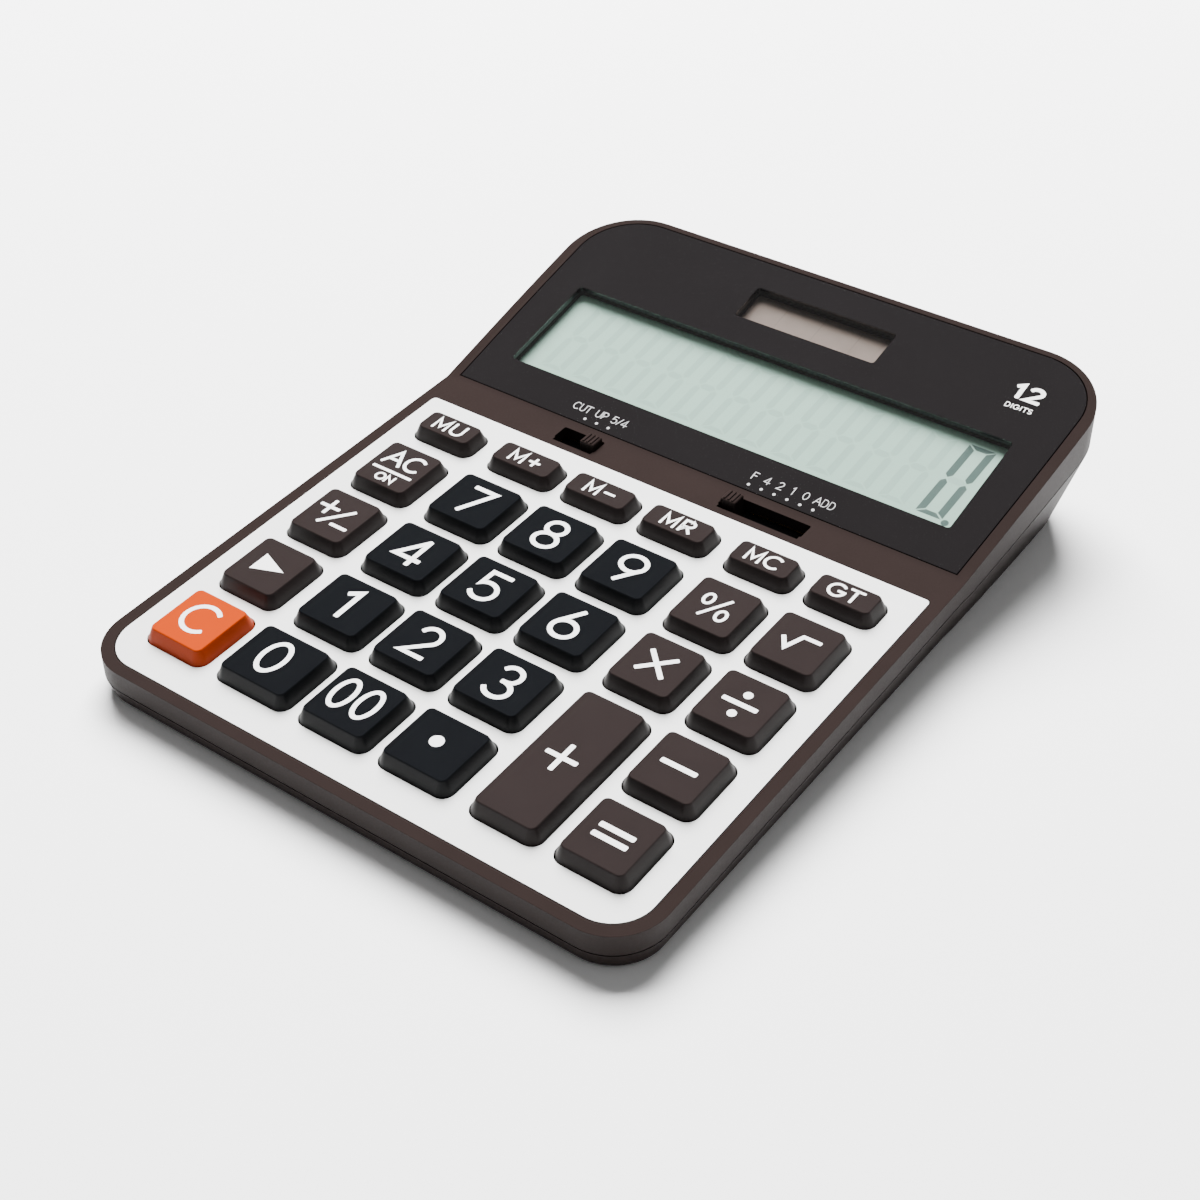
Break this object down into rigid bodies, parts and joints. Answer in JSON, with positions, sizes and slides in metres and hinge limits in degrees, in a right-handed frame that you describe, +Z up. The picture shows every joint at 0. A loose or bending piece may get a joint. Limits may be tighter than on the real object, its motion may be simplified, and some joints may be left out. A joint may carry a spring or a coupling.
{
  "type": "desk calculator",
  "caption": "Wedge-shaped desk calculator with a tilted display and solar cell, sprung keys in a metal faceplate, slide switches and rubber feet.",
  "frame": {"origin": "middle of the case's footprint, on the table under the feet", "axes": "+X to the user's right, +Y away from the user towards the display, +Z up"},
  "size_m": [0.159, 0.208, 0.0374],
  "materials": {
    "brown_case": "satin moulded dark brown",
    "brown_key": "satin dark brown",
    "black_key": "satin blue-black",
    "orange_key": "satin orange",
    "silver_plate": "satin silver",
    "black_lens": "polished, printed black on its back",
    "lcd_glass": "pale grey green",
    "solar_glass": "glossy, warm grey cells",
    "white_plastic": "moulded white",
    "grey_rubber": "moulded grey",
    "foot_rubber": "matt black",
    "green_board": "green laminate",
    "black_resin": "cast resin",
    "amber_film": "amber film",
    "red_wire": "insulated wire",
    "black_wire": "insulated wire",
    "steel": "bright"
  },
  "bodies": {
    "case": {"back_left_foot": "foot_rubber", "back_left_screw": "steel", "back_right_foot": "foot_rubber", "back_right_screw": "steel", "bottom_case": "brown_case", "button_cell": "steel", "cell_contact_minus": "steel", "cell_contact_plus": "steel", "controller_chip": "black_resin", "display_ribbon": "amber_film", "display_window": "black_lens", "faceplate": "silver_plate", "front_left_foot": "foot_rubber", "front_left_screw": "steel", "front_right_foot": "foot_rubber", "front_right_screw": "steel", "key_board": "green_board", "keypad_mat": "grey_rubber", "lcd_holder": "white_plastic", "lcd_panel": "lcd_glass", "middle_left_screw": "steel", "middle_right_screw": "steel", "solar_cell": "solar_glass", "solar_lead_minus": "black_wire", "solar_lead_plus": "red_wire", "top_case": "brown_case"},
    "key_0": {"key_0": "black_key"},
    "key_00": {"key_00": "black_key"},
    "key_1": {"key_1": "black_key"},
    "key_2": {"key_2": "black_key"},
    "key_3": {"key_3": "black_key"},
    "key_4": {"key_4": "black_key"},
    "key_5": {"key_5": "black_key"},
    "key_6": {"key_6": "black_key"},
    "key_7": {"key_7": "black_key"},
    "key_8": {"key_8": "black_key"},
    "key_9": {"key_9": "black_key"},
    "key_all_clear": {"key_all_clear": "brown_key"},
    "key_backspace": {"key_backspace": "brown_key"},
    "key_clear": {"key_clear": "orange_key"},
    "key_divide": {"key_divide": "brown_key"},
    "key_equals": {"key_equals": "brown_key"},
    "key_gt": {"key_gt": "brown_key"},
    "key_m_minus": {"key_m_minus": "brown_key"},
    "key_m_plus": {"key_m_plus": "brown_key"},
    "key_mc": {"key_mc": "brown_key"},
    "key_minus": {"key_minus": "brown_key"},
    "key_mr": {"key_mr": "brown_key"},
    "key_mu": {"key_mu": "brown_key"},
    "key_multiply": {"key_multiply": "brown_key"},
    "key_percent": {"key_percent": "brown_key"},
    "key_plus": {"key_plus": "brown_key"},
    "key_point": {"key_point": "black_key"},
    "key_root": {"key_root": "brown_key"},
    "key_sign": {"key_sign": "brown_key"},
    "rounding_switch": {"rounding_switch": "brown_case"},
    "decimal_switch": {"decimal_switch": "brown_case"}
  },
  "joints": [
    {"name": "key_0_press", "type": "slide", "parent": "case", "child": "key_0", "axis": [0, 0.061, -0.9981], "range_m": [0, 0.002], "stiffness_N_per_m": 250, "springref_m": -0.0008},
    {"name": "key_00_press", "type": "slide", "parent": "case", "child": "key_00", "axis": [0, 0.061, -0.9981], "range_m": [0, 0.002], "stiffness_N_per_m": 250, "springref_m": -0.0008},
    {"name": "key_1_press", "type": "slide", "parent": "case", "child": "key_1", "axis": [0, 0.061, -0.9981], "range_m": [0, 0.002], "stiffness_N_per_m": 250, "springref_m": -0.0008},
    {"name": "key_2_press", "type": "slide", "parent": "case", "child": "key_2", "axis": [0, 0.061, -0.9981], "range_m": [0, 0.002], "stiffness_N_per_m": 250, "springref_m": -0.0008},
    {"name": "key_3_press", "type": "slide", "parent": "case", "child": "key_3", "axis": [0, 0.061, -0.9981], "range_m": [0, 0.002], "stiffness_N_per_m": 250, "springref_m": -0.0008},
    {"name": "key_4_press", "type": "slide", "parent": "case", "child": "key_4", "axis": [0, 0.061, -0.9981], "range_m": [0, 0.002], "stiffness_N_per_m": 250, "springref_m": -0.0008},
    {"name": "key_5_press", "type": "slide", "parent": "case", "child": "key_5", "axis": [0, 0.061, -0.9981], "range_m": [0, 0.002], "stiffness_N_per_m": 250, "springref_m": -0.0008},
    {"name": "key_6_press", "type": "slide", "parent": "case", "child": "key_6", "axis": [0, 0.061, -0.9981], "range_m": [0, 0.002], "stiffness_N_per_m": 250, "springref_m": -0.0008},
    {"name": "key_7_press", "type": "slide", "parent": "case", "child": "key_7", "axis": [0, 0.061, -0.9981], "range_m": [0, 0.002], "stiffness_N_per_m": 250, "springref_m": -0.0008},
    {"name": "key_8_press", "type": "slide", "parent": "case", "child": "key_8", "axis": [0, 0.061, -0.9981], "range_m": [0, 0.002], "stiffness_N_per_m": 250, "springref_m": -0.0008},
    {"name": "key_9_press", "type": "slide", "parent": "case", "child": "key_9", "axis": [0, 0.061, -0.9981], "range_m": [0, 0.002], "stiffness_N_per_m": 250, "springref_m": -0.0008},
    {"name": "key_all_clear_press", "type": "slide", "parent": "case", "child": "key_all_clear", "axis": [0, 0.061, -0.9981], "range_m": [0, 0.002], "stiffness_N_per_m": 250, "springref_m": -0.0008},
    {"name": "key_backspace_press", "type": "slide", "parent": "case", "child": "key_backspace", "axis": [0, 0.061, -0.9981], "range_m": [0, 0.002], "stiffness_N_per_m": 250, "springref_m": -0.0008},
    {"name": "key_clear_press", "type": "slide", "parent": "case", "child": "key_clear", "axis": [0, 0.061, -0.9981], "range_m": [0, 0.002], "stiffness_N_per_m": 250, "springref_m": -0.0008},
    {"name": "key_divide_press", "type": "slide", "parent": "case", "child": "key_divide", "axis": [0, 0.061, -0.9981], "range_m": [0, 0.002], "stiffness_N_per_m": 250, "springref_m": -0.0008},
    {"name": "key_equals_press", "type": "slide", "parent": "case", "child": "key_equals", "axis": [0, 0.061, -0.9981], "range_m": [0, 0.002], "stiffness_N_per_m": 250, "springref_m": -0.0008},
    {"name": "key_gt_press", "type": "slide", "parent": "case", "child": "key_gt", "axis": [0, 0.061, -0.9981], "range_m": [0, 0.002], "stiffness_N_per_m": 250, "springref_m": -0.0008},
    {"name": "key_m_minus_press", "type": "slide", "parent": "case", "child": "key_m_minus", "axis": [0, 0.061, -0.9981], "range_m": [0, 0.002], "stiffness_N_per_m": 250, "springref_m": -0.0008},
    {"name": "key_m_plus_press", "type": "slide", "parent": "case", "child": "key_m_plus", "axis": [0, 0.061, -0.9981], "range_m": [0, 0.002], "stiffness_N_per_m": 250, "springref_m": -0.0008},
    {"name": "key_mc_press", "type": "slide", "parent": "case", "child": "key_mc", "axis": [0, 0.061, -0.9981], "range_m": [0, 0.002], "stiffness_N_per_m": 250, "springref_m": -0.0008},
    {"name": "key_minus_press", "type": "slide", "parent": "case", "child": "key_minus", "axis": [0, 0.061, -0.9981], "range_m": [0, 0.002], "stiffness_N_per_m": 250, "springref_m": -0.0008},
    {"name": "key_mr_press", "type": "slide", "parent": "case", "child": "key_mr", "axis": [0, 0.061, -0.9981], "range_m": [0, 0.002], "stiffness_N_per_m": 250, "springref_m": -0.0008},
    {"name": "key_mu_press", "type": "slide", "parent": "case", "child": "key_mu", "axis": [0, 0.061, -0.9981], "range_m": [0, 0.002], "stiffness_N_per_m": 250, "springref_m": -0.0008},
    {"name": "key_multiply_press", "type": "slide", "parent": "case", "child": "key_multiply", "axis": [0, 0.061, -0.9981], "range_m": [0, 0.002], "stiffness_N_per_m": 250, "springref_m": -0.0008},
    {"name": "key_percent_press", "type": "slide", "parent": "case", "child": "key_percent", "axis": [0, 0.061, -0.9981], "range_m": [0, 0.002], "stiffness_N_per_m": 250, "springref_m": -0.0008},
    {"name": "key_plus_press", "type": "slide", "parent": "case", "child": "key_plus", "axis": [0, 0.061, -0.9981], "range_m": [0, 0.002], "stiffness_N_per_m": 250, "springref_m": -0.0008},
    {"name": "key_point_press", "type": "slide", "parent": "case", "child": "key_point", "axis": [0, 0.061, -0.9981], "range_m": [0, 0.002], "stiffness_N_per_m": 250, "springref_m": -0.0008},
    {"name": "key_root_press", "type": "slide", "parent": "case", "child": "key_root", "axis": [0, 0.061, -0.9981], "range_m": [0, 0.002], "stiffness_N_per_m": 250, "springref_m": -0.0008},
    {"name": "key_sign_press", "type": "slide", "parent": "case", "child": "key_sign", "axis": [0, 0.061, -0.9981], "range_m": [0, 0.002], "stiffness_N_per_m": 250, "springref_m": -0.0008},
    {"name": "rounding_switch_slide", "type": "slide", "parent": "case", "child": "rounding_switch", "axis": [1, 0, 0], "range_m": [-0.0074, 0]},
    {"name": "decimal_switch_slide", "type": "slide", "parent": "case", "child": "decimal_switch", "axis": [1, 0, 0], "range_m": [0, 0.0185]}
  ]
}
